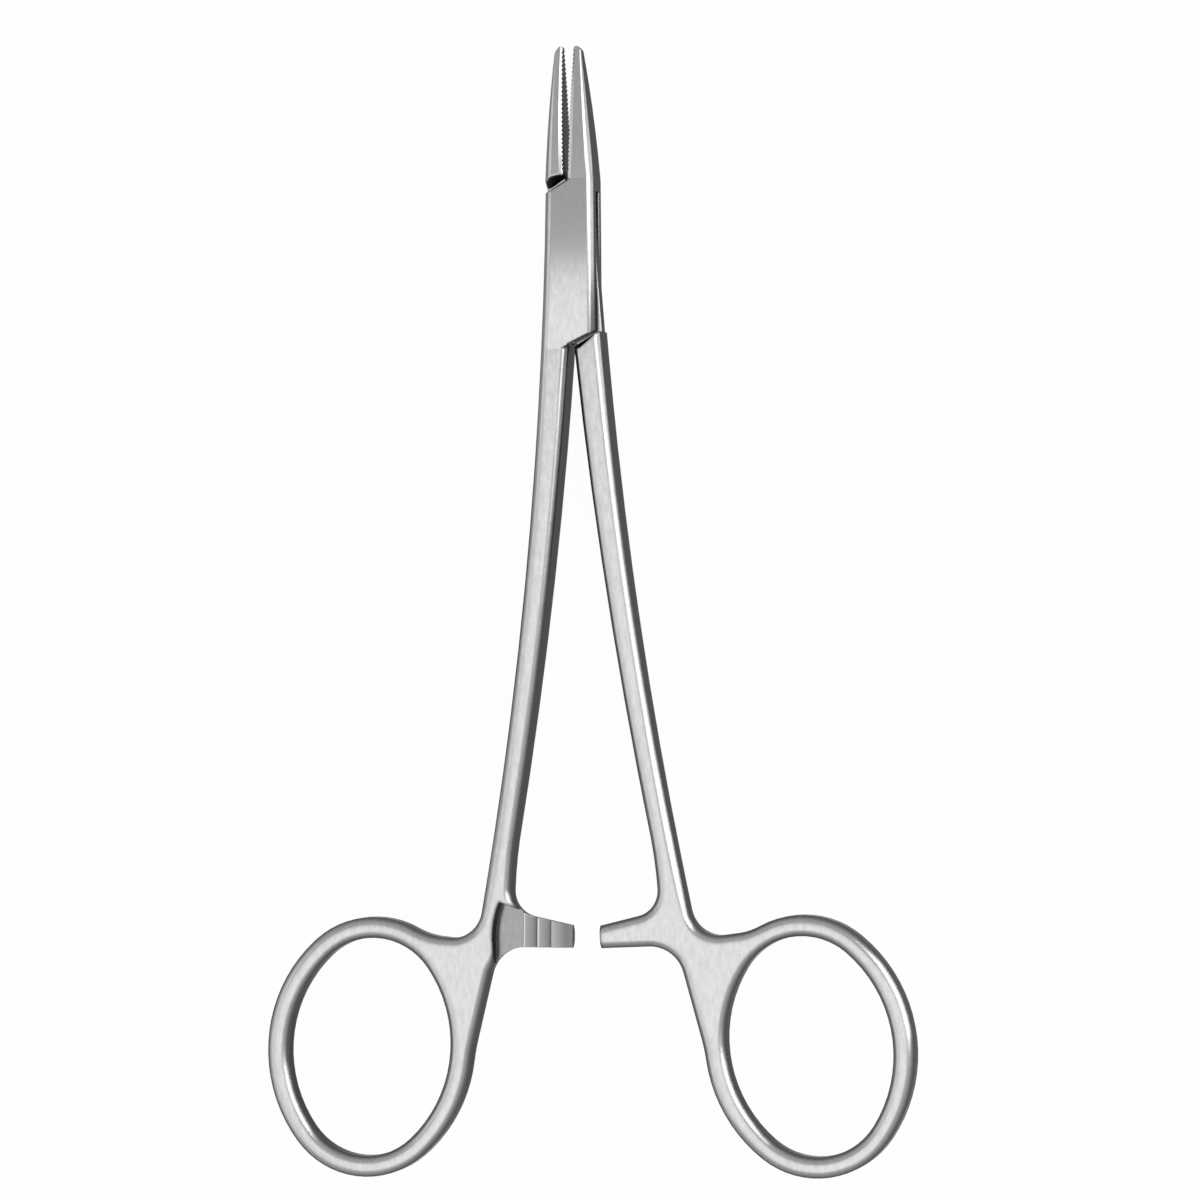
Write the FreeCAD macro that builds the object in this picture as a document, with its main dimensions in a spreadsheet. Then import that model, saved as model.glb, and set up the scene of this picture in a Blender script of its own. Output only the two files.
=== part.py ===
import FreeCAD, Part
import math
import os
import Sketcher

# Needle holder with a box lock, 130 mm long, lying on its back face.
# Each half is drawn in the closed position with the pivot at its origin, +Y towards the
# jaw tips and z = 0 at mid-thickness. Its placement then opens it and lifts it onto z >= 0.
# The box half has its handle on -X and its jaw on +X. The through half passes through
# the box, with its handle on +X and its jaw on -X.

doc = FreeCAD.newDocument("NeedleHolder")
sheet = doc.addObject("Spreadsheet::Sheet", "Sizes")

# Driving sizes, in millimetres and degrees
SIZES = [
    ("rest_opening", 2.95, "angle between the halves as they lie, jaws slightly apart"),
    ("box_thickness", 4.6, "front face of the box to its back face"),
    ("cheek_thickness", 1.45, "each wall of the box lock"),
    ("tongue_play", 0.04, "gap between the tongue and each cheek"),
    ("edge_round", 1.0, "rounded edges of the handles and the box"),
    ("pin_diameter", 2.2, "riveted pivot pin"),
    ("pin_play", 0.04, "radial play of the tongue on the pin"),
    ("box_low_y", 9.35, "inner lower corner of the cheeks, below the pivot"),
    ("box_high_y", 9.64, "inner upper corner of the cheeks, above the pivot"),
    ("box_left_top", 2.85, "half width of the box at its upper corner"),
    ("box_left_top_y", 8.03, "height of that corner above the pivot"),
    ("box_right_low", 3.05, "right side of the cheeks at their lower end"),
    ("box_right_low_y", 7.8, "lower right corner of the cheeks, below the pivot"),
    ("shoulder_gap", 0.28, "closed gap between the cheeks and the shoulders"),
    ("mortise_centre_y", 9.3, "end wall of the mortise on the centre line"),
    ("mortise_side_y", 8.2, "end wall of the mortise at the side of the box"),
    ("mortise_half_width", 3.2, "where that side is measured"),
    ("tongue_end_gap", 0.25, "closed gap between the tongue and the mortise walls"),
    ("tongue_side", 2.6, "side of the tongue away from its shank"),
    ("shoulder_slope", 50.0, "steepness of the shoulders"),
    ("low_shoulder_y", 10.5, "lower shoulder on the centre line, below the pivot"),
    ("low_shoulder_turn", 37.5, "direction of the lower shoulder"),
    ("high_shoulder_y", 10.45, "upper shoulder on the centre line, above the pivot"),
    ("high_shoulder_turn", 10.8, "direction of the upper shoulder"),
    ("shank_gap", 0.08, "inner side of a shank from the centre line, at the box"),
    ("shank_mid_y", 40.0, "middle station of the shanks, below the pivot"),
    ("shank_mid_inner", 2.75, "inner side of a shank there"),
    ("shank_mid_outer", 5.51, "outer side of a shank there"),
    ("shank_low_y", 66.5, "lower station of the shanks"),
    ("shank_low_inner", 6.33, "inner side of a shank there"),
    ("shank_bend_inner", 6.74, "inner side halfway to the root of the arm"),
    ("crotch_y", 78.2, "corner between a shank and its ring"),
    ("crotch_outer", 10.9, "outer side of a shank there"),
    ("web_outer", 18.1, "where the web joins the top of the ring"),
    ("web_rise", 0.7, "that point above the corner between shank and ring"),
    ("root_high_inner", 6.81, "inner side of the shank above the ratchet arm"),
    ("root_height", 4.05, "upper corner of the arm's root above the arm's lower edge"),
    ("root_low_inner", 8.66, "inner side of the shank below the ratchet arm"),
    ("arm_low_y", 78.85, "lower edge of the ratchet arms"),
    ("arm_tip_width", 2.6, "width of the arms at the tip"),
    ("arm_reach", 0.14, "how far an arm passes the centre line when closed"),
    ("ring_join_inner", 12.1, "inner side where the shank runs into the ring"),
    ("ring_join_y", 93.7, "height of that point below the pivot"),
    ("ring_x", 23.72, "centre of a finger ring from the centre line"),
    ("ring_y", 90.7, "centre of a finger ring below the pivot"),
    ("through_ring_drop", 0.25, "how much lower the through half's ring sits"),
    ("ring_hole_width", 19.4, "narrow way across the finger hole"),
    ("ring_hole_length", 25.4, "long way across the finger hole"),
    ("ring_hole_end", 7.9, "radius of the finger hole's ends"),
    ("ring_bar_side", 2.5, "bar of the ring at its sides"),
    ("ring_bar_end", 2.4, "bar of the ring at its top and bottom"),
    ("box_ring_turn", 5.8, "lean of the box half's ring towards the centre"),
    ("through_ring_turn", 6.6, "lean of the through half's ring"),
    ("ring_thickness", 3.2, "rings and ratchet root, front to back"),
    ("crotch_round", 3.6, "hollow between shank and ring"),
    ("web_round", 8.0, "hollow between web and ring"),
    ("arm_high_round", 3.0, "hollow above the arm"),
    ("arm_low_round", 4.0, "hollow below the arm"),
    ("join_round", 20.0, "long blend from shank to ring"),
    ("taper_low_y", 79.0, "below this the handles have the ring's thickness"),
    ("taper_high_y", 10.5, "above this they have the box's thickness"),
    ("landing_drop", 0.24, "ratchet landing below mid-thickness"),
    ("crest_rise", 0.20, "tooth crests above mid-thickness"),
    ("tooth_pitch", 1.67, "ratchet pitch"),
    ("tooth_face", 0.2, "plan width of the steep tooth faces"),
    ("tooth_first", 5.54, "first crest from the centre line"),
    ("tooth_count", 3, "teeth on each arm"),
    ("landing_side", 8.91, "outer end of the milled landing, at the arm"),
    ("landing_top", 8.14, "its upper corner"),
    ("landing_height", 5.25, "that corner above the arm's lower edge"),
    ("parting_base", -0.2, "gripping face at the upper corner of the box"),
    ("parting_tip", 0.07, "gripping face at the jaw tips"),
    ("jaw_tip_y", 25.1, "jaw tips above the pivot"),
    ("jaw_mid_y", 17.4, "middle station of the jaws"),
    ("box_jaw_base", 2.83, "outer side of the box half's jaw at the box"),
    ("box_jaw_mid", 2.0, "the same at the middle station"),
    ("box_jaw_tip", 0.93, "the same at the tip, before the nose is rounded"),
    ("through_jaw_base", 2.4, "outer side of the through half's jaw at the box"),
    ("through_jaw_mid", 1.68, "the same at the middle station"),
    ("through_jaw_tip", 0.8, "the same at the tip"),
    ("jaw_mid_thickness", 3.6, "jaws, front to back, at the middle station"),
    ("jaw_tip_thickness", 1.1, "jaws, front to back, at the tips"),
    ("jaw_mid_round", 0.7, "outer edges of the jaws at the middle station"),
    ("jaw_tip_round", 0.2, "the same at the tips"),
    ("grip_bevel", 0.2, "depth of the bevels along the gripping faces"),
    ("base_bevel_width", 0.5, "plan width of those bevels at the box"),
    ("mid_bevel_width", 0.42, "the same at the middle station"),
    ("tip_bevel_width", 0.24, "the same at the tips"),
    ("nose_length", 1.6, "rounded nose of each jaw"),
    ("nose_spread", 0.25, "outer side of a jaw where its nose begins, past its tip's"),
    ("nose_corner", 0.33, "round between the nose and the gripping face"),
    ("box_nose_mid", 1.02, "middle of the box half's nose curve from the centre line"),
    ("through_nose_mid", 0.78, "the same on the through half"),
    ("nose_mid_drop", 0.6, "those points below the tips"),
    ("serration_pitch", 0.5, "gripping teeth along the jaw"),
    ("serration_depth", 0.12, "depth of their grooves"),
    ("serration_width", 0.34, "width of their grooves"),
    ("serration_start", 1.2, "first groove above the box"),
    ("cheek_bevel", 0.2, "bevel on the slanting ends of the cheeks"),
]
for row, (alias, value, note) in enumerate(SIZES, start=1):
    sheet.set(f"A{row}", alias)
    sheet.set(f"B{row}", str(value))
    sheet.set(f"C{row}", note)
    sheet.setAlias(f"B{row}", alias)
doc.recompute()


class Size:
    """A length or angle that carries its number and its formula over the sheet's cells."""

    def __init__(self, number, formula):
        self.number = float(number)
        self.formula = str(formula)

    def __add__(self, other):
        other = as_size(other)
        return Size(self.number + other.number, f"({self.formula} + {other.formula})")

    def __sub__(self, other):
        other = as_size(other)
        return Size(self.number - other.number, f"({self.formula} - {other.formula})")

    def __mul__(self, other):
        other = as_size(other)
        return Size(self.number * other.number, f"({self.formula} * {other.formula})")

    def __truediv__(self, other):
        other = as_size(other)
        return Size(self.number / other.number, f"({self.formula} / {other.formula})")

    def __neg__(self):
        return Size(-self.number, f"(0 - {self.formula})")


def as_size(value):
    return value if isinstance(value, Size) else Size(value, repr(value))


def cell(alias):
    return Size(float(sheet.get(alias)), f"Sizes.{alias}")


def tangent_of(angle):
    return Size(math.tan(math.radians(angle.number)), f"tan({angle.formula} * 1 deg)")


def angle_of(slope):
    number = math.degrees(math.atan(slope.number))
    return Size(number, f"atan({slope.formula}) / 1 deg")


def root(value):
    return Size(math.sqrt(value.number), f"sqrt({value.formula})")


HALF_BOX = cell("box_thickness") / 2
HALF_RING = cell("ring_thickness") / 2
TONGUE_HALF = HALF_BOX - cell("cheek_thickness") - cell("tongue_play")
SLOT_HALF = HALF_BOX - cell("cheek_thickness")
ROOT_HIGH_Y = cell("arm_low_y") - cell("root_height")
ARM_TIP_Y = cell("arm_low_y") - cell("arm_tip_width")
LANDING_TOP_Y = cell("arm_low_y") - cell("landing_height")
WEB_OUTER_Y = cell("crotch_y") - cell("web_rise")
OVER = 1.0  # cutters reach this far past the metal
FAR = 8.0  # and this far past the sides of the box
QUARTER = math.sqrt(0.5)
FIRST_BEVEL = 0.5858  # 45 degree bevel that touches a unit rounding
SECOND_BEVEL = 0.2153  # bevel of its upper edge that touches the same rounding


# Drawing helpers
def plane_of(body, role):
    return [f for f in body.Origin.OriginFeatures if f.Role == role][0]


def attach(sketch, body, role, offset=None, turn=None):
    """Puts a sketch on one of its own body's planes, moved along the normal or turned in plan."""
    sketch.AttachmentSupport = [(plane_of(body, role), "")]
    sketch.MapMode = "FlatFace"
    if turn is not None:
        sketch.AttachmentOffset = turn
    if offset is not None:
        sketch.setExpression(".AttachmentOffset.Base.z", offset.formula)


def pin_point(sketch, geometry, place, x, y):
    """Ties one end of a line, arc or point to the sheet."""
    for kind, size, name in (("DistanceX", x, "x"), ("DistanceY", y, "y")):
        index = sketch.addConstraint(
            Sketcher.Constraint(kind, -1, 1, geometry, place, size.number)
        )
        sketch.renameConstraint(index, f"g{geometry}p{place}{name}")
        sketch.setExpression(f"Constraints.g{geometry}p{place}{name}", size.formula)


def draw_loop(sketch, corners):
    """A closed outline. A corner is (x, y), or (x, y, mid_x, mid_y) where the edge that leaves
    it is an arc through that middle point."""
    sizes = [tuple(as_size(v) for v in corner) for corner in corners]
    edges = []
    for here, after in zip(sizes, sizes[1:] + sizes[:1]):
        start = FreeCAD.Vector(here[0].number, here[1].number, 0)
        end = FreeCAD.Vector(after[0].number, after[1].number, 0)
        if len(here) == 2:
            edges.append((sketch.addGeometry(Part.LineSegment(start, end), False), 1, 2))
            continue
        middle = FreeCAD.Vector(here[2].number, here[3].number, 0)
        forward = (middle - start).cross(end - start).z > 0
        ends = (start, end) if forward else (end, start)
        index = sketch.addGeometry(Part.Arc(ends[0], middle, ends[1]), False)
        edges.append((index, 1, 2) if forward else (index, 2, 1))
    for number, (index, first, last) in enumerate(edges):
        after = edges[(number + 1) % len(edges)]
        sketch.addConstraint(Sketcher.Constraint("Coincident", index, last, after[0], after[1]))
    for (index, first, last), size in zip(edges, sizes):
        pin_point(sketch, index, first, size[0], size[1])
    for (index, first, last), size in zip(edges, sizes):
        if len(size) == 4:
            middle = FreeCAD.Vector(size[2].number, size[3].number, 0)
            point = sketch.addGeometry(Part.Point(middle), True)
            pin_point(sketch, point, 1, size[2], size[3])
            sketch.addConstraint(Sketcher.Constraint("PointOnObject", point, 1, index))


def outline(body, name, role, loops, offset=None, turn=None):
    sketch = body.newObject("Sketcher::SketchObject", name)
    attach(sketch, body, role, offset, turn)
    for corners in loops:
        draw_loop(sketch, corners)
    return sketch


def circle(body, name, role, radius, offset=None):
    sketch = body.newObject("Sketcher::SketchObject", name)
    attach(sketch, body, role, offset)
    index = sketch.addGeometry(
        Part.Circle(FreeCAD.Vector(0, 0, 0), FreeCAD.Vector(0, 0, 1), radius.number), False
    )
    sketch.addConstraint(Sketcher.Constraint("Coincident", index, 3, -1, 1))
    number = sketch.addConstraint(Sketcher.Constraint("Radius", index, radius.number))
    sketch.renameConstraint(number, "radius")
    sketch.setExpression("Constraints.radius", radius.formula)
    return sketch


def oval(body, name, centre_x, centre_y, half_width, half_length, end_radius, lean):
    """An upright oval of four arcs whose top leans by an angle, towards +X where that is
    positive. Side and end arcs meet smoothly on the line through their centres."""
    sketch = body.newObject("Sketcher::SketchObject", name)
    placement = FreeCAD.Placement(
        FreeCAD.Vector(centre_x.number, centre_y.number, 0),
        FreeCAD.Rotation(FreeCAD.Vector(0, 0, 1), 1),
    )
    attach(sketch, body, "XY_Plane", turn=placement)
    sketch.setExpression(".AttachmentOffset.Base.x", centre_x.formula)
    sketch.setExpression(".AttachmentOffset.Base.y", centre_y.formula)
    sketch.setExpression(".AttachmentOffset.Rotation.Angle", (-lean).formula)
    end_centre = half_length - end_radius
    side_radius = end_centre * end_centre + half_width * half_width - end_radius * end_radius
    side_radius = side_radius / 2 / (half_width - end_radius)
    share = end_radius / (side_radius - end_radius)
    meet_x = (side_radius - half_width) * share
    meet_y = end_centre + end_centre * share
    draw_loop(
        sketch,
        [
            (meet_x, meet_y, 0.0, half_length),
            (-meet_x, meet_y, -half_width, 0.0),
            (-meet_x, -meet_y, 0.0, -half_length),
            (meet_x, -meet_y, half_width, 0.0),
        ],
    )
    return sketch


def finish_feature(feature, grows, base):
    """Computes a feature and stops the build if it didn't add or remove metal."""
    before = base.Shape.Volume if base else 0.0
    doc.recompute()
    change = feature.Shape.Volume - before
    if feature.Shape.isNull() or change * (1 if grows else -1) <= 0:
        raise ValueError(f"{feature.Name} changed the volume by {change:.4f}")
    return feature


def pad(body, name, sketch, length):
    base = body.Tip
    feature = body.newObject("PartDesign::Pad", name)
    feature.Profile = sketch
    feature.Midplane = True
    feature.setExpression("Length", length.formula)
    return finish_feature(feature, True, base)


def pocket(body, name, sketch, length, midplane=True, reverse=False):
    base = body.Tip
    feature = body.newObject("PartDesign::Pocket", name)
    feature.Profile = sketch
    feature.Midplane = midplane
    feature.Reversed = reverse
    feature.setExpression("Length", length.formula)
    return finish_feature(feature, False, base)


def repeat(body, name, cut, direction, reverse, pitch, count):
    """Repeats a cut in a straight row."""
    pattern = body.newObject("PartDesign::LinearPattern", name)
    pattern.Originals = [cut]
    pattern.Direction = direction
    pattern.Mode = "Spacing"
    pattern.Reversed = reverse
    pattern.setExpression("Offset", pitch.formula)
    pattern.setExpression("Occurrences", count)
    body.Tip = pattern
    return finish_feature(pattern, False, cut)


def dress_edges(body, name, kind, wanted, field, size):
    """Adds a Fillet or a Chamfer on the edges of the body's tip that pass a test."""
    base = body.Tip
    names = [f"Edge{i}" for i, edge in enumerate(base.Shape.Edges, start=1) if wanted(edge)]
    if not names:
        raise ValueError(f"{name} found no edge")
    feature = body.newObject(f"PartDesign::{kind}", name)
    feature.Base = (base, names)
    feature.setExpression(field, size.formula)
    doc.recompute()
    if "Invalid" in feature.State or feature.Shape.isNull():
        raise ValueError(f"{name} failed on {names}")
    return feature


def round_edges(body, name, wanted, radius):
    return dress_edges(body, name, "Fillet", wanted, "Radius", radius)


def beside_face(shape):
    """Tests for the edges between the front or back face and a bevel of 45 degrees."""

    def wanted(edge):
        point = middle_of(edge)
        faces = shape.ancestorsOfType(edge, Part.Face)
        tilts = sorted(abs(f.normalAt(*f.Surface.parameter(point)).z) for f in faces)
        return 0.65 < tilts[0] < 0.75 and tilts[-1] > 0.99

    return wanted


def soften_edges(body, name, wanted, radius):
    """Breaks square edges in two bevels, a wide one and a small one beside the face."""
    dress_edges(body, f"{name}_bevel", "Chamfer", wanted, "Size", radius * FIRST_BEVEL)
    again = beside_face(body.Tip.Shape)
    dress_edges(body, f"{name}_small_bevel", "Chamfer", again, "Size", radius * SECOND_BEVEL)


def upright_at(x, y, reach=0.6):
    """Tests for the vertical edge nearest a place in plan."""

    def wanted(edge):
        ends = [v.Point for v in edge.Vertexes]
        if len(ends) != 2 or abs(ends[0].z - ends[1].z) < 1.0:
            return False
        return all(math.hypot(p.x - x, p.y - y) < reach for p in ends)

    return wanted


def middle_of(edge):
    return edge.valueAt((edge.FirstParameter + edge.LastParameter) / 2)


# Shapes that both halves share, with side -1 for the handle on -X and +1 for +X
def handle_corners(side, top_y):
    """The shank, the ratchet arm and the web into the ring, from the inner top to the crotch."""
    return [
        (
            cell("shank_gap") * side, top_y,
            cell("shank_mid_inner") * side, -cell("shank_mid_y"),
        ),
        (
            cell("shank_low_inner") * side, -cell("shank_low_y"),
            cell("shank_bend_inner") * side, -(cell("shank_low_y") + ROOT_HIGH_Y) / 2,
        ),
        (cell("root_high_inner") * side, -ROOT_HIGH_Y),
        (cell("arm_reach") * -side, -ARM_TIP_Y),
        (cell("arm_reach") * -side, -cell("arm_low_y")),
        (cell("root_low_inner") * side, -cell("arm_low_y")),
        (cell("ring_join_inner") * side, -cell("ring_join_y")),
        (cell("ring_x") * side, -cell("ring_y")),
        (cell("web_outer") * side, -WEB_OUTER_Y),
        (
            cell("crotch_outer") * side, -cell("crotch_y"),
            cell("shank_mid_outer") * side, -cell("shank_mid_y"),
        ),
    ]


def ring_oval(body, name, side, turn, drop, bar_side, bar_end):
    return oval(
        body, name, cell("ring_x") * side, -cell("ring_y") - drop,
        cell("ring_hole_width") / 2 + bar_side, cell("ring_hole_length") / 2 + bar_end,
        cell("ring_hole_end") + bar_end, turn * -side,
    )


def add_ring(body, side, turn, drop):
    """The ring's blank, its blends into the shank, and the finger hole."""
    bars = (cell("ring_bar_side"), cell("ring_bar_end"))
    blank = ring_oval(body, "ring_outline", side, turn, drop, *bars)
    pad(body, "ring_blank", blank, cell("box_thickness"))
    places = [
        ("crotch", cell("crotch_outer"), cell("crotch_y"), cell("crotch_round"), 0.6),
        ("arm_high", cell("root_high_inner"), ROOT_HIGH_Y, cell("arm_high_round"), 0.6),
        ("arm_low", cell("root_low_inner"), cell("arm_low_y"), cell("arm_low_round"), 0.6),
        ("web", cell("web_outer"), WEB_OUTER_Y, cell("web_round"), 3.0),
        ("ring_join", cell("ring_join_inner"), cell("ring_y"), cell("join_round"), 3.5),
    ]
    for name, x, y, radius, reach in places:
        wanted = upright_at(side * x.number, -y.number, reach)
        round_edges(body, f"{name}_blend", wanted, radius)
    hole = ring_oval(body, "finger_hole_outline", side, turn, drop, as_size(0.0), as_size(0.0))
    pocket(body, "finger_hole", hole, cell("box_thickness") + OVER)


def add_thickness(body):
    """Thins the handle evenly from the box to the ring, front and back."""
    top_y = -cell("taper_high_y")
    low_y = -cell("taper_low_y")
    end_y = low_y - cell("ring_y")
    loops = []
    for way in (1, -1):
        loops.append(
            [
                (top_y, HALF_BOX * way),
                (low_y, HALF_RING * way),
                (end_y, HALF_RING * way),
                (end_y, (HALF_BOX + OVER) * way),
                (top_y, (HALF_BOX + OVER) * way),
            ]
        )
    profile = outline(body, "thickness_profile", "YZ_Plane", loops)
    pocket(body, "thickness", profile, (cell("ring_x") + cell("ring_hole_length")) * 2)


def rim(edge):
    """Tests for the front and back edges of the handle, the ring, the hole and the box's sides."""
    middle = middle_of(edge)
    ends = [v.Point for v in edge.Vertexes]
    if abs(middle.z) < HALF_RING.number - 0.02 or any(p.z * middle.z <= 0 for p in ends):
        return False
    level = max(abs(p.y - middle.y) for p in ends) < 0.001 and edge.Length < 30
    if level:
        return abs(middle.y + cell("arm_low_y").number) < 0.01
    if middle.y > -cell("box_low_y").number:
        return abs(middle.x) > 2.4
    return abs(middle.x) > cell("arm_reach").number + 0.01 or middle.y > -cell("shank_mid_y").number


def jaw_section(name, body, side, station, outer, half, rounding, bevel_width):
    """A jaw's cross-section: a flat gripping face with small bevels, and rounded outer edges."""
    rise = (station - cell("box_high_y")) / (cell("jaw_tip_y") - cell("box_high_y"))
    grip = cell("parting_base") + (cell("parting_tip") - cell("parting_base")) * rise
    bevel = cell("grip_bevel")
    inner = grip + bevel_width * side
    first = rounding * FIRST_BEVEL
    second = rounding * SECOND_BEVEL
    bend = second * QUARTER
    rounded = [
        (outer - (first + second) * side, half),
        (outer - (first - bend) * side, half - bend),
        (outer, half - first),
    ]
    corners = [(grip, bevel - half), (grip, half - bevel), (inner, half)]
    corners += rounded
    corners += [(x, -z) for x, z in reversed(rounded)]
    corners.append((inner, -half))
    return outline(body, name, "XZ_Plane", [corners], offset=-station)


def add_jaw(body, side, prefix):
    stations = [
        ("base", cell("box_high_y"), HALF_BOX, cell("edge_round")),
        ("mid", cell("jaw_mid_y"), cell("jaw_mid_thickness") / 2, cell("jaw_mid_round")),
        ("tip", cell("jaw_tip_y"), cell("jaw_tip_thickness") / 2, cell("jaw_tip_round")),
    ]
    sections = [
        jaw_section(
            f"jaw_{name}", body, side, station, cell(f"{prefix}_jaw_{name}") * side, half,
            rounding, cell(f"{name}_bevel_width"),
        )
        for name, station, half, rounding in stations
    ]
    base = body.Tip
    feature = body.newObject("PartDesign::AdditiveLoft", "jaw")
    feature.Profile = sections[0]
    feature.Sections = sections[1:]
    finish_feature(feature, True, base)


def add_nose(body, side, prefix):
    """Rounds the nose of a jaw in plan."""
    tip_y = cell("jaw_tip_y")
    grip = cell("parting_tip")
    corner = cell("nose_corner")
    start_x = (cell(f"{prefix}_jaw_tip") + cell("nose_spread")) * side
    outer_loop = [
        (
            start_x, tip_y - cell("nose_length"),
            cell(f"{prefix}_nose_mid") * side, tip_y - cell("nose_mid_drop"),
        ),
        (grip + corner * side, tip_y),
        (grip + corner * side, tip_y + OVER),
        (start_x + OVER * side, tip_y + OVER),
        (start_x + OVER * side, tip_y - cell("nose_length")),
    ]
    inner_loop = [
        (
            grip, tip_y - corner,
            grip + corner * (1 - QUARTER) * side, tip_y - corner * (1 - QUARTER),
        ),
        (grip + corner * side, tip_y),
        (grip - OVER * side, tip_y),
        (grip - OVER * side, tip_y - corner),
    ]
    sketch = outline(body, "nose_plan", "XY_Plane", [outer_loop, inner_loop])
    pocket(body, "nose", sketch, cell("box_thickness"))


def lean_of_parting():
    rise = cell("jaw_tip_y") - cell("box_high_y")
    return (cell("parting_tip") - cell("parting_base")) / rise


def add_serrations(body, side):
    """Cross grooves on the gripping face, cut along a line that follows its lean."""
    slope = lean_of_parting()
    lean = math.degrees(math.atan(slope.number))
    sketch = body.newObject("Sketcher::SketchObject", "serration_outline")
    placement = FreeCAD.Placement(
        FreeCAD.Vector(cell("parting_base").number, cell("box_high_y").number, 0),
        FreeCAD.Rotation(FreeCAD.Vector(0, 0, -1), lean),
    )
    attach(sketch, body, "XY_Plane", turn=placement)
    sketch.setExpression(".AttachmentOffset.Base.x", cell("parting_base").formula)
    sketch.setExpression(".AttachmentOffset.Base.y", cell("box_high_y").formula)
    sketch.setExpression(".AttachmentOffset.Rotation.Angle", f"atan({slope.formula})")
    half_width = cell("serration_width") / 2
    first = cell("serration_start")
    draw_loop(
        sketch,
        [
            (cell("serration_depth") * -side, first - half_width * 2),
            (cell("serration_depth") * -side, first + half_width * 2),
            (cell("serration_depth") * side, first),
        ],
    )
    groove = pocket(body, "serration", sketch, cell("box_thickness") + OVER)
    length = cell("jaw_tip_y") - cell("box_high_y") - cell("serration_start")
    count = f"floor(({length.formula}) / Sizes.serration_pitch)"
    repeat(body, "serrations", groove, (sketch, ["V_Axis"]), False, cell("serration_pitch"), count)


def add_ratchet(body, side, front):
    """The milled landing and the teeth, on the front of one arm and the back of the other."""
    top = HALF_BOX + OVER
    crest = cell("crest_rise")
    drop = cell("landing_drop")
    first_x = cell("tooth_first") * side
    past_tip = cell("arm_reach") * -side - OVER * side
    low_y = -cell("arm_low_y") - cell("arm_low_round")
    high_y = -LANDING_TOP_Y
    landing = [
        (first_x, low_y),
        (first_x, high_y - OVER),
        (
            cell("landing_top") * side, high_y,
            (cell("landing_side") - 0.06) * side, (high_y - cell("arm_low_y")) / 2,
        ),
        (cell("landing_side") * side, -cell("arm_low_y")),
        (cell("landing_side") * side, low_y),
    ]
    teeth_field = [
        (first_x + 0.01 * side, low_y),
        (first_x + 0.01 * side, high_y),
        (past_tip, high_y),
        (past_tip, low_y),
    ]
    role = "XY_Plane"
    sketch = outline(body, "landing_outline", role, [landing], offset=-drop * front)
    pocket(body, "landing", sketch, top, midplane=False, reverse=front > 0)
    sketch = outline(body, "teeth_field_outline", role, [teeth_field], offset=crest * front)
    pocket(body, "teeth_field", sketch, top, midplane=False, reverse=front > 0)
    run = cell("tooth_pitch") - cell("tooth_face")
    z_crest = (crest + 0.05) * front
    z_valley = -drop * front
    groove = [
        (first_x, z_crest),
        (first_x - run * side, z_valley),
        (first_x - cell("tooth_pitch") * side, z_crest),
    ]
    reach = cell("landing_drop") + cell("crest_rise")
    last_x = first_x - cell("tooth_pitch") * (cell("tooth_count") - 1) * side
    ramp_slope = reach / run
    ramp_run = cell("arm_reach") + OVER + last_x * side
    ramp = [
        (last_x, crest * front),
        (last_x - ramp_run * side, (crest - ramp_slope * ramp_run) * front),
        (last_x - ramp_run * side, top * front),
        (last_x, top * front),
    ]
    depth = cell("arm_low_y") + OVER - LANDING_TOP_Y
    sketch = outline(body, "tooth_outline", "XZ_Plane", [groove], offset=cell("arm_low_y") + OVER)
    tooth = pocket(body, "tooth_gap", sketch, depth, midplane=False)
    count = "Sizes.tooth_count - 1"
    repeat(body, "tooth_gaps", tooth, (sketch, ["H_Axis"]), side > 0, cell("tooth_pitch"), count)
    sketch = outline(body, "ramp_outline", "XZ_Plane", [ramp], offset=cell("arm_low_y") + OVER)
    pocket(body, "ramp", sketch, depth, midplane=False)


def place_half(body, turn):
    """Opens a half about the pivot and lifts mid-thickness off the resting plane."""
    body.Placement = FreeCAD.Placement(
        FreeCAD.Vector(0, 0, 0), FreeCAD.Rotation(FreeCAD.Vector(0, 0, 1), 1)
    )
    body.setExpression("Placement.Base.z", HALF_BOX.formula)
    body.setExpression("Placement.Rotation.Angle", (cell("rest_opening") / 2 * turn).formula)


def wall_y(x, way):
    """An end wall of the mortise at a place x, above the pivot for way 1 and below it for -1."""
    fall = (cell("mortise_centre_y") - cell("mortise_side_y")) / cell("mortise_half_width")
    return (cell("mortise_centre_y") - fall * x * way) * way


def cheek_line(x, high):
    """The slanting end of the cheeks at a place x, at the upper left or the lower right."""
    if high:
        start_x, start_y = -cell("box_left_top"), cell("box_left_top_y")
        end_x, end_y = cell("parting_base"), cell("box_high_y")
    else:
        start_x, start_y = -cell("shank_gap"), -cell("box_low_y")
        end_x, end_y = cell("box_right_low"), -cell("box_right_low_y")
    slope = (end_y - start_y) / (end_x - start_x)
    return start_y + slope * (x - start_x), slope


def shoulder_gap_y(slope):
    """The gap between cheek and shoulder, measured along +Y."""
    return cell("shoulder_gap") * root(slope * slope + 1)


def cut_mortise(body):
    """The slot through the box, open at both sides, for the tongue."""
    far = as_size(FAR)
    side = cell("parting_base")
    corners = [
        (-far, wall_y(-far, -1)),
        (far, wall_y(far, -1)),
        (far, wall_y(far, 1)),
        (side, wall_y(side, 1)),
        (side, cell("box_high_y") + OVER),
        (-far, cell("box_high_y") + OVER),
    ]
    sketch = outline(body, "mortise_outline", "XY_Plane", [corners])
    pocket(body, "mortise", sketch, SLOT_HALF * 2)


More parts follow.
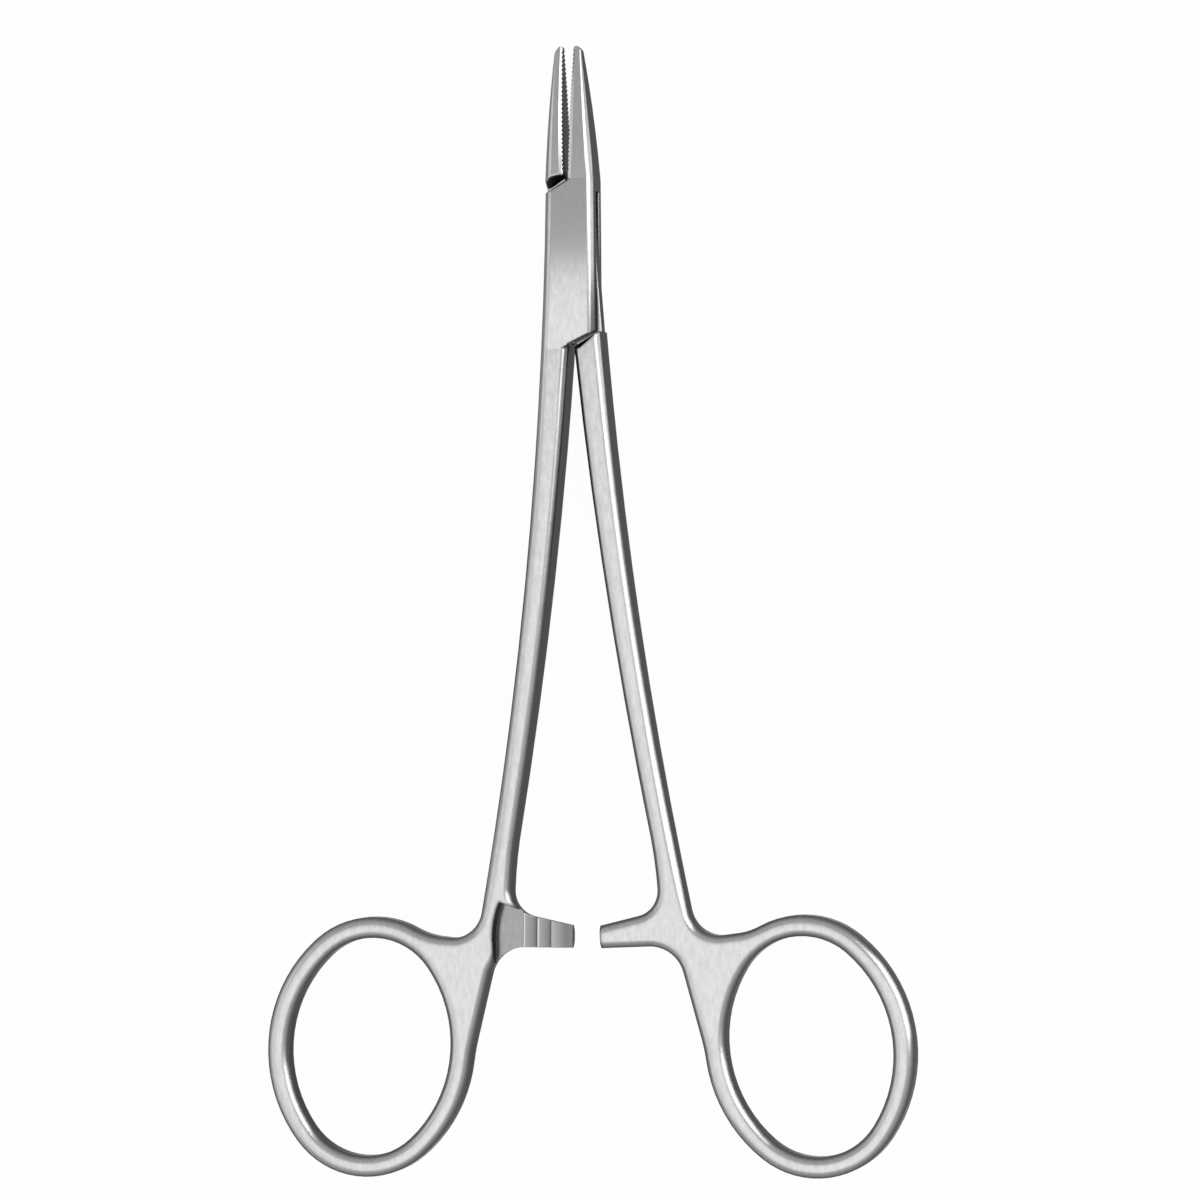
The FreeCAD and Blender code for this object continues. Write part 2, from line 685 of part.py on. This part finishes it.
def cut_tongue(body):
    """Thins the through half to its tongue where the cheeks cover it."""
    far = as_size(FAR)
    low, low_slope = cheek_line(as_size(0.0), False)
    high, high_slope = cheek_line(as_size(0.0), True)
    low = low - shoulder_gap_y(low_slope)
    high = high + shoulder_gap_y(high_slope)
    corners = [
        (-far, low - low_slope * far),
        (far, low + low_slope * far),
        (far, high),
        (as_size(0.0), high),
        (-far, high - high_slope * far),
    ]
    for way, label in ((1, "front"), (-1, "back")):
        sketch = outline(body, f"tongue_{label}_outline", "XY_Plane", [corners], offset=TONGUE_HALF * way)
        pocket(body, f"tongue_{label}", sketch, HALF_BOX, midplane=False, reverse=way > 0)


def cut_slope(body, name, place, turn, start, run, low, length=None):
    """A pair of slopes, front and back, that fall away from a line in plan. Local x leaves the
    line at an angle, and the slope runs from start at the face down to a given height."""
    x, y = place
    sketch = body.newObject("Sketcher::SketchObject", f"{name}_outline")
    placement = FreeCAD.Placement(
        FreeCAD.Vector(x.number, 0, -y.number), FreeCAD.Rotation(FreeCAD.Vector(0, 1, 0), 1)
    )
    attach(sketch, body, "XZ_Plane", offset=-y, turn=placement)
    sketch.setExpression(".AttachmentOffset.Base.x", x.formula)
    sketch.setExpression(".AttachmentOffset.Rotation.Angle", turn.formula)
    top = HALF_BOX + OVER
    for side in (1, -1):
        draw_loop(
            sketch,
            [
                (start, HALF_BOX * side),
                (start + run, low * side),
                (start + run + OVER, low * side),
                (start + run + OVER, top * side),
                (start, top * side),
            ],
        )
    pocket(body, name, sketch, length or as_size(FAR), midplane=length is None)


def bore(body, name, radius):
    sketch = circle(body, f"{name}_outline", "XY_Plane", radius)
    pocket(body, name, sketch, cell("box_thickness") + OVER)


# The box half: left handle, the two cheeks of the box, right jaw
def make_box_half():
    body = doc.addObject("PartDesign::Body", "box_half")
    body.Label = "box_half"
    corners = handle_corners(-1, -cell("box_low_y"))
    corners += [
        (-cell("box_left_top"), cell("box_left_top_y")),
        (cell("parting_base"), cell("box_high_y")),
        (cell("box_jaw_base"), cell("box_high_y")),
        (cell("box_right_low"), -cell("box_right_low_y")),
    ]
    sketch = outline(body, "blank_outline", "XY_Plane", [corners])
    pad(body, "blank", sketch, cell("box_thickness"))
    add_ring(body, -1, cell("box_ring_turn"), as_size(0.0))
    add_thickness(body)
    soften_edges(body, "rim", rim, cell("edge_round"))
    add_jaw(body, 1, "box")
    add_nose(body, 1, "box")
    bevel = cell("cheek_bevel")
    low = HALF_BOX - bevel
    corners = [
        ("high_bevel", (cell("parting_base"), cell("box_high_y")), True, 90),
        ("low_bevel", (-cell("shank_gap"), -cell("box_low_y")), False, -90),
    ]
    for name, place, high, quarter in corners:
        turn = angle_of(cheek_line(as_size(0.0), high)[1]) + quarter
        cut_slope(body, name, place, turn, -bevel, bevel, low, length=cell("box_left_top") * 2)
    cut_mortise(body)
    bore(body, "pin_bore", cell("pin_diameter") / 2)
    add_ratchet(body, -1, 1)
    add_serrations(body, 1)
    return body


# The through half: right handle, the tongue through the box, left jaw
def make_through_half():
    body = doc.addObject("PartDesign::Body", "through_half")
    body.Label = "through_half"
    gap = cell("tongue_end_gap")
    corners = handle_corners(1, wall_y(cell("shank_gap"), -1) + gap)
    corners += [
        (cell("box_left_top"), wall_y(cell("box_left_top"), 1) - gap),
        (cell("parting_base"), wall_y(cell("parting_base"), 1) - gap),
        (cell("parting_base"), cell("box_high_y")),
        (-cell("through_jaw_base"), cell("box_high_y")),
        (-cell("tongue_side"), wall_y(-cell("tongue_side"), -1) + gap),
    ]
    sketch = outline(body, "blank_outline", "XY_Plane", [corners])
    pad(body, "blank", sketch, cell("box_thickness"))
    add_ring(body, 1, cell("through_ring_turn"), cell("through_ring_drop"))
    add_thickness(body)
    soften_edges(body, "rim", rim, cell("edge_round"))
    add_jaw(body, -1, "through")
    add_nose(body, -1, "through")
    cut_tongue(body)
    run = (HALF_BOX - TONGUE_HALF) / tangent_of(cell("shoulder_slope"))
    centre = as_size(0.0)
    low = (centre, -cell("low_shoulder_y"))
    high = (centre, cell("high_shoulder_y"))
    cut_slope(body, "low_shoulder", low, cell("low_shoulder_turn") + 90, centre, run, TONGUE_HALF)
    cut_slope(body, "high_shoulder", high, cell("high_shoulder_turn") - 90, centre, run, TONGUE_HALF)
    bore(body, "pin_bore", cell("pin_diameter") / 2 + cell("pin_play"))
    add_ratchet(body, 1, -1)
    add_serrations(body, -1)
    return body


# The pivot pin, riveted flush in both cheeks
def make_pin():
    body = doc.addObject("PartDesign::Body", "pivot_pin")
    body.Label = "pivot_pin"
    sketch = circle(body, "pin_outline", "XY_Plane", cell("pin_diameter") / 2)
    pad(body, "pin", sketch, cell("box_thickness"))
    return body


bodies = [make_box_half(), make_pin(), make_through_half()]
doc.recompute()
for body, turn in zip(bodies, (-1, -1, 1)):
    place_half(body, turn)
doc.recompute()

faults = [o.Name for o in doc.Objects if "Invalid" in o.State or "Error" in o.State]
if faults:
    raise ValueError(f"features that failed: {faults}")
os.makedirs("parts", exist_ok=True)
for body in bodies:
    if body.Shape.isNull() or not body.Shape.isValid():
        raise ValueError(f"{body.Label} has no valid shape")
    body.Shape.exportStep(f"parts/{body.Label}.step")
    print(body.Label, round(body.Shape.Volume, 3))
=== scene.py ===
import math

import bpy
from mathutils import Matrix, Vector


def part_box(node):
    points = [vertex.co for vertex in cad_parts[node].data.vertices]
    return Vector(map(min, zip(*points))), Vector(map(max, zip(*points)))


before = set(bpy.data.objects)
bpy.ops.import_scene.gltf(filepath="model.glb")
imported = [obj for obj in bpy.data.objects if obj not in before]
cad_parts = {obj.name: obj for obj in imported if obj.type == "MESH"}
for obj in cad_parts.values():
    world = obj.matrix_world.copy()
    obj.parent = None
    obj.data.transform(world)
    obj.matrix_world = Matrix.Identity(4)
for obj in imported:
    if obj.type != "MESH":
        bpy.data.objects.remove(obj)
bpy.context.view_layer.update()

# The instrument: a 130 mm needle holder of satin stainless steel, lying on its back face on a
# white table. Lengths are in metres, in the frame of the solid model: the pivot's axis is at
# the origin, the jaw tips point along +Y and the front face looks up.
BOX_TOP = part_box("box_half")[1][2]
MID_PLANE = BOX_TOP / 2
MM = 0.001


# Helpers
def srgb(hex_colour):
    """A hex colour as it is seen on a screen, turned to the linear values that shaders take."""
    channels = [int(hex_colour[i : i + 2], 16) / 255 for i in (1, 3, 5)]
    linear = [c / 12.92 if c <= 0.04045 else ((c + 0.055) / 1.055) ** 2.4 for c in channels]
    return (*linear, 1.0)


def add_node(tree, kind, settings=None, links=None):
    """Adds a node. Settings are properties or socket values, links are socket name to output."""
    node = tree.nodes.new(kind)
    for name, value in (settings or {}).items():
        if isinstance(name, int) or name in node.inputs:
            node.inputs[name].default_value = value
        else:
            setattr(node, name, value)
    for name, output in (links or {}).items():
        tree.links.new(output, node.inputs[name])
    return node


# Finish of the steel: the colour of its faces, painted shade on the steep sides and painted shade
# in the inner corners
STEEL = "#CFCFD0"
PAINTED_SIDE_SHADE = "#5A5A5C"
PAINTED_CORNER_SHADE = "#4A4A4B"
GRAZING_TINT = "#AAAAAA"
ROUGHNESS = 0.20
# upright share of a face's direction, from a steep side painted with shade to a face in the
# steel's own colour
WALL_LEVEL = 0.58
FACE_LEVEL = 0.95
# radius to which edges are worn, and where it changes along the instrument
HANDLE_WEAR = 0.8 * MM
BOX_WEAR = 0.3 * MM
RATCHET_WEAR = 0.1 * MM
JAW_SHARE = 0.25
SHANK_START = -30 * MM
SHANK_ROOT = -12 * MM
BOX_END = 10 * MM
JAW_START = 12 * MM
RIVET_FIELD = 1.6 * MM
# the ratchet's teeth, measured from the plane where the halves meet; the painted shade in their
# valleys, and how far the painted shade in inner corners reaches
RATCHET_DEPTH = 0.5 * MM
VALLEY_DEPTH = 0.24 * MM
CREST_HEIGHT = 0.14 * MM
VALLEY_SHADE_LEVEL = 0.48
CORNER_SHADE_REACH = 0.35 * MM
# brushing scratches and the clouds in the satin; a shape is width over length
SCRATCH_WIDTH = 0.1 * MM
SCRATCH_SHAPE = 0.06
SCRATCH_DEPTH = 0.02 * MM
CLOUD_WIDTH = 0.5 * MM
CLOUD_SHAPE = 0.35
CLOUD_SHINE = 0.89
CLOUD_ROUGHNESS = 0.03
# crown that the brushing wheel leaves along the box
BOX_REACH = 9.8 * MM
BOX_DOME = 0.60 * MM
# share of the table that glows with its own white
TABLE_GLOW = 0.97


# Materials
def satin_stainless(name, dome):
    """Martensitic stainless steel, glass-beaded and then finished to satin with a brushing wheel.
    The faces are bright grey with a fine grain along the instrument. The steep sides are painted
    darker, as painted shade, and so are the inner corners and the ratchet's valleys. The wheel
    also leaves the faces of the box slightly domed along its length."""
    material = bpy.data.materials.new(name)
    material.use_nodes = True
    tree = material.node_tree
    tree.nodes.clear()
    place = add_node(tree, "ShaderNodeTexCoord")
    # the handles are worn rounder than the box and the jaws, and the milled ratchet stays crisp
    spot = add_node(tree, "ShaderNodeSeparateXYZ", links={0: place.outputs["Object"]})
    wear = add_node(
        tree, "ShaderNodeMapRange",
        {
            "From Min": SHANK_START, "From Max": SHANK_ROOT,
            "To Min": HANDLE_WEAR, "To Max": BOX_WEAR,
        },
        {"Value": spot.outputs["Y"]},
    )
    jaw_share = add_node(
        tree, "ShaderNodeMapRange",
        {"From Min": BOX_END, "From Max": JAW_START, "To Min": 1.0, "To Max": JAW_SHARE},
        {"Value": spot.outputs["Y"]},
    )
    wear_here = add_node(
        tree, "ShaderNodeMath", {"operation": "MULTIPLY"},
        {0: wear.outputs["Result"], 1: jaw_share.outputs["Result"]},
    )
    off_middle = add_node(
        tree, "ShaderNodeMath", {"operation": "SUBTRACT", 1: MID_PLANE}, {0: spot.outputs["Z"]}
    )
    depth = add_node(
        tree, "ShaderNodeMath", {"operation": "ABSOLUTE"}, {0: off_middle.outputs["Value"]}
    )
    milled = add_node(
        tree, "ShaderNodeMath", {"operation": "LESS_THAN", 1: RATCHET_DEPTH},
        {0: depth.outputs["Value"]},
    )
    radius = add_node(
        tree, "ShaderNodeMix", {"data_type": "FLOAT", 3: RATCHET_WEAR},
        {0: milled.outputs["Value"], 2: wear_here.outputs["Value"]},
    )
    worn = add_node(
        tree, "ShaderNodeBevel", {"samples": 8}, {"Radius": radius.outputs[0]}
    )
    # the rivet is ground flush with the cheeks, so nothing is worn around it
    flat_spot = add_node(
        tree, "ShaderNodeVectorMath", {"operation": "MULTIPLY", 1: (1.0, 1.0, 0.0)},
        {0: place.outputs["Object"]},
    )
    from_axis = add_node(
        tree, "ShaderNodeVectorMath", {"operation": "LENGTH"}, {0: flat_spot.outputs["Vector"]}
    )
    past_rivet = add_node(
        tree, "ShaderNodeMath", {"operation": "GREATER_THAN", 1: RIVET_FIELD},
        {0: from_axis.outputs["Value"]},
    )
    shape = add_node(tree, "ShaderNodeNewGeometry")
    worn_edges = add_node(
        tree, "ShaderNodeMix", {"data_type": "VECTOR"},
        {0: past_rivet.outputs["Value"], 4: shape.outputs["Normal"], 5: worn.outputs["Normal"]},
    )
    worn_normal = worn_edges.outputs[1]
    # brushing scratches, much longer than they are wide
    grain_room = add_node(
        tree, "ShaderNodeMapping", {"Scale": (1.0, SCRATCH_SHAPE, 1.0)},
        {"Vector": place.outputs["Object"]},
    )
    grain = add_node(
        tree, "ShaderNodeTexNoise",
        {"Scale": 1 / SCRATCH_WIDTH, "Detail": 2.0, "Roughness": 0.6},
        {"Vector": grain_room.outputs["Vector"]},
    )
    relief = add_node(
        tree, "ShaderNodeBump", {"Strength": 0.04, "Distance": SCRATCH_DEPTH},
        {"Height": grain.outputs["Fac"], "Normal": worn_normal},
    )
    normal = relief.outputs["Normal"]
    if dome > 0:
        along = add_node(
            tree, "ShaderNodeClamp", {"Min": -BOX_REACH, "Max": BOX_REACH},
            {"Value": spot.outputs["Y"]},
        )
        bulge = add_node(
            tree, "ShaderNodeMath", {"operation": "MULTIPLY"},
            {0: along.outputs["Result"], 1: along.outputs["Result"]},
        )
        height = add_node(
            tree, "ShaderNodeMath", {"operation": "MULTIPLY", 1: -dome / BOX_REACH**2},
            {0: bulge.outputs["Value"]},
        )
        domed = add_node(
            tree, "ShaderNodeBump", {"Strength": 1.0, "Distance": 1.0},
            {"Height": height.outputs["Value"], "Normal": normal},
        )
        normal = domed.outputs["Normal"]
    facing = add_node(tree, "ShaderNodeSeparateXYZ", links={0: worn_normal})
    level = add_node(tree, "ShaderNodeMath", {"operation": "ABSOLUTE"}, {0: facing.outputs["Z"]})
    # painted shade: the steeper a face, the more of the dark side colour it gets in place of the
    # steel's own colour
    upright_face = add_node(
        tree, "ShaderNodeMapRange",
        {"interpolation_type": "SMOOTHSTEP", "From Min": WALL_LEVEL, "From Max": FACE_LEVEL},
        {"Value": level.outputs["Value"]},
    )
    side_shaded_steel = add_node(
        tree, "ShaderNodeMix",
        {"data_type": "RGBA", 6: srgb(PAINTED_SIDE_SHADE), 7: srgb(STEEL)},
        {0: upright_face.outputs["Result"]},
    )
    # painted shade: darker in the inner corners, such as the valleys of the ratchet, where shade
    # falls
    corners = add_node(
        tree, "ShaderNodeAmbientOcclusion", {"samples": 8, "Distance": CORNER_SHADE_REACH}
    )
    corner_openness = add_node(
        tree, "ShaderNodeMapRange", {"From Min": 0.30, "From Max": 0.90},
        {"Value": corners.outputs["AO"]},
    )
    # painted shade: faces that lie below the teeth's crests and look towards the plane where the
    # halves meet, such as the ratchet's valleys, are darker
    inward = add_node(
        tree, "ShaderNodeMath", {"operation": "MULTIPLY"},
        {0: off_middle.outputs["Value"], 1: facing.outputs["Z"]},
    )
    valley_openness = add_node(
        tree, "ShaderNodeMapRange",
        {
            "From Min": -VALLEY_DEPTH, "From Max": CREST_HEIGHT,
            "To Min": VALLEY_SHADE_LEVEL, "To Max": 1.0,
        },
        {"Value": inward.outputs["Value"]},
    )
    # painted shade of the inner corners and of the ratchet's valleys together
    bright = add_node(
        tree, "ShaderNodeMath", {"operation": "MULTIPLY"},
        {0: corner_openness.outputs["Result"], 1: valley_openness.outputs["Result"]},
    )
    # the wheel leaves faint clouds and streaks in the satin
    cloud_room = add_node(
        tree, "ShaderNodeMapping", {"Scale": (1.0, CLOUD_SHAPE, 1.0)},
        {"Vector": place.outputs["Object"]},
    )
    clouds = add_node(
        tree, "ShaderNodeTexNoise",
        {"Scale": 1 / CLOUD_WIDTH, "Detail": 3.0, "Roughness": 0.65},
        {"Vector": cloud_room.outputs["Vector"]},
    )
    cloud_tone = add_node(
        tree, "ShaderNodeMapRange",
        {"From Min": 0.33, "From Max": 0.67, "To Min": CLOUD_SHINE, "To Max": 1.0},
        {"Value": clouds.outputs["Fac"]},
    )
    shade_and_clouds = add_node(
        tree, "ShaderNodeMath", {"operation": "MULTIPLY"},
        {0: bright.outputs["Value"], 1: cloud_tone.outputs["Result"]},
    )
    satin = add_node(
        tree, "ShaderNodeMapRange",
        {
            "From Min": 0.33, "From Max": 0.67,
            "To Min": ROUGHNESS + CLOUD_ROUGHNESS, "To Max": ROUGHNESS - CLOUD_ROUGHNESS,
        },
        {"Value": clouds.outputs["Fac"]},
    )
    # painted shade: the colour goes towards the dark corner colour where the painted shade is
    # deep, and the satin's clouds vary it at random
    shaded_steel_colour = add_node(
        tree, "ShaderNodeMix", {"data_type": "RGBA", 6: srgb(PAINTED_CORNER_SHADE)},
        {0: shade_and_clouds.outputs["Value"], 7: side_shaded_steel.outputs[2]},
    )
    steel = add_node(
        tree, "ShaderNodeBsdfPrincipled",
        {"Metallic": 1.0, "Specular Tint": srgb(GRAZING_TINT)},
        {
            "Base Color": shaded_steel_colour.outputs[2],
            "Roughness": satin.outputs["Result"],
            "Normal": normal,
        },
    )
    add_node(tree, "ShaderNodeOutputMaterial", links={"Surface": steel.outputs["BSDF"]})
    return material


def white_table():
    """A shadowless white sweep: mostly its own white, with enough plain matt surface to hold
    the instrument's contact shadow."""
    material = bpy.data.materials.new("white table")
    material.use_nodes = True
    tree = material.node_tree
    tree.nodes.clear()
    matt = add_node(tree, "ShaderNodeBsdfDiffuse", {"Color": srgb("#F4F4F4")})
    glow = add_node(tree, "ShaderNodeEmission", {"Color": (1.0, 1.0, 1.0, 1.0), "Strength": 1.0})
    rays = add_node(tree, "ShaderNodeLightPath")
    seen = add_node(
        tree, "ShaderNodeMath", {"operation": "MAXIMUM"},
        {0: rays.outputs["Is Camera Ray"], 1: rays.outputs["Is Glossy Ray"]},
    )
    seen_through = add_node(
        tree, "ShaderNodeMath", {"operation": "MAXIMUM"},
        {0: seen.outputs["Value"], 1: rays.outputs["Is Transmission Ray"]},
    )
    share = add_node(
        tree, "ShaderNodeMath", {"operation": "MULTIPLY", 1: TABLE_GLOW},
        {0: seen_through.outputs["Value"]},
    )
    surface = add_node(
        tree, "ShaderNodeMixShader",
        links={0: share.outputs["Value"], 1: matt.outputs["BSDF"], 2: glow.outputs["Emission"]},
    )
    add_node(tree, "ShaderNodeOutputMaterial", links={"Surface": surface.outputs["Shader"]})
    return material


# The three steel pieces
for node_name, words, dome in (
    ("box_half", "satin stainless steel, box half", BOX_DOME),
    ("through_half", "satin stainless steel, through half", 0.0),
    ("pivot_pin", "satin stainless steel, ground rivet", BOX_DOME),
):
    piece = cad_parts[node_name]
    piece.data.materials.clear()
    piece.data.materials.append(satin_stainless(words, dome))


# Table
bpy.ops.mesh.primitive_plane_add(size=3.0, location=(0, 0, 0))
table = bpy.context.object
table.name = "table"
table.data.materials.append(white_table())


# Lamps: soft boxes round the table, like a light tent that is open above the jaws
def soft_box(name, place, aim, width, length, power):
    """An area lamp of the given size that points from its place to its aim."""
    light = bpy.data.lights.new(name, "AREA")
    light.shape = "RECTANGLE"
    light.size = width
    light.size_y = length
    light.energy = power
    lamp = bpy.data.objects.new(name, light)
    bpy.context.collection.objects.link(lamp)
    lamp.location = place
    lamp.rotation_euler = (Vector(aim) - Vector(place)).to_track_quat("-Z", "Y").to_euler()
    lamp.visible_camera = False


for lamp_name, place, aim, width, length, power in (
    ("overhead box, above handles", (-0.045, -0.38, 0.80), (-0.045, -0.38, 0), 0.57, 0.84, 1.10),
    ("overhead box, further left", (-0.59, -0.38, 0.80), (-0.59, -0.38, 0), 0.52, 0.84, 0.61),
    ("left box", (-0.90, -0.10, 0.50), (0, -0.10, 0), 1.0, 0.5, 0.7),
    ("right box", (0.66, 0.22, 0.46), (0, 0, 0), 0.60, 0.72, 3.6),
):
    soft_box(lamp_name, place, aim, width, length, power)

WORLD_LEVEL = 0.54
world = bpy.data.worlds.new("plain room")
bpy.context.scene.world = world
world.use_nodes = True
room_light = world.node_tree.nodes["Background"]
room_light.inputs["Color"].default_value = srgb("#FFFFFF")
room_light.inputs["Strength"].default_value = WORLD_LEVEL


# Camera: a long lens, looking down and tipped a little towards the right-hand side
FRAME_WIDTH = 138.3 * MM
PIVOT_IN_FRAME = (-3.11 * MM, 38.72 * MM)
TIP = math.radians(13.5)
ROLL = math.radians(1.22)
LENS = 200.0
SENSOR = 36.0

right = Vector((math.cos(TIP), 0, -math.sin(TIP)))
up = Vector((0, 1, 0))
out = Vector((math.sin(TIP), 0, math.cos(TIP)))
view_right = right * math.cos(ROLL) - up * math.sin(ROLL)
view_up = up * math.cos(ROLL) + right * math.sin(ROLL)
centre = Vector((0, 0, MID_PLANE)) - view_right * PIVOT_IN_FRAME[0] - view_up * PIVOT_IN_FRAME[1]
distance = FRAME_WIDTH * LENS / SENSOR
camera_data = bpy.data.cameras.new("long lens")
camera_data.lens = LENS
camera_data.sensor_width = SENSOR
camera_data.clip_start = 0.01
camera = bpy.data.objects.new("camera", camera_data)
bpy.context.collection.objects.link(camera)
camera.matrix_world = Matrix(
    (
        (view_right.x, view_up.x, out.x, centre.x + out.x * distance),
        (view_right.y, view_up.y, out.y, centre.y + out.y * distance),
        (view_right.z, view_up.z, out.z, centre.z + out.z * distance),
        (0, 0, 0, 1),
    )
)
bpy.context.scene.camera = camera
bpy.context.scene.view_settings.view_transform = "Standard"
